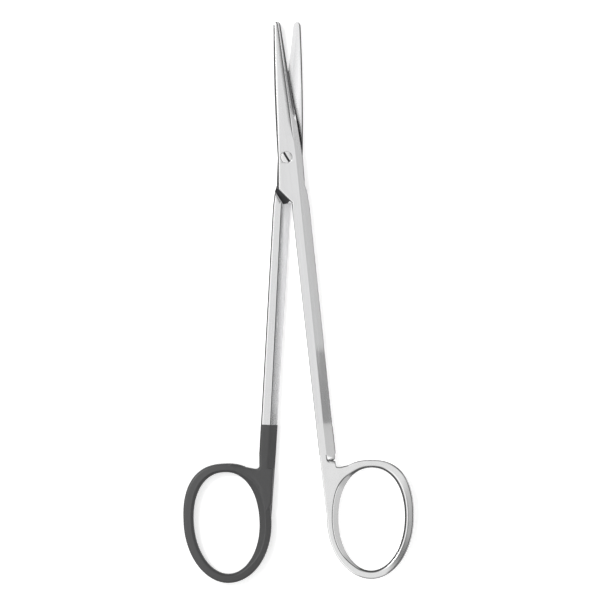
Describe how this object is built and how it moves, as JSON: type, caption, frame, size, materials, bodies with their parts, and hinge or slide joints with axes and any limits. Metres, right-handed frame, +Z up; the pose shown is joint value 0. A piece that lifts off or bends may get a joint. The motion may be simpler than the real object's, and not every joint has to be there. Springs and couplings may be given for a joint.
{
  "type": "strabismus scissors",
  "caption": "Straight blunt-tipped eye surgery scissors: two flat ring-handled steel levers, one with a black-coated ring, turning on a slotted screw.",
  "frame": {"origin": "middle of the box's underside, on the table that the scissors lie on", "axes": "+Y from the rings to the blade tips, +X to the front lever's ring, +Z up out of the table, along the screw"},
  "size_m": [0.0574, 0.139, 0.0034],
  "materials": {
    "bare_steel": "satin stainless steel, polished ring",
    "coated_steel": "satin stainless steel, ring and end of the shank coated semi-matt black",
    "screw_steel": "polished stainless steel"
  },
  "bodies": {
    "back": {"back_lever": "coated_steel", "pivot_screw": "screw_steel"},
    "front": {"front_lever": "bare_steel"}
  },
  "joints": [
    {"name": "pivot", "type": "hinge", "parent": "back", "child": "front", "pos_m": [-0.00087, 0.03579, 0], "axis": [0, 0, 1], "range_deg": [-8, 50]}
  ]
}
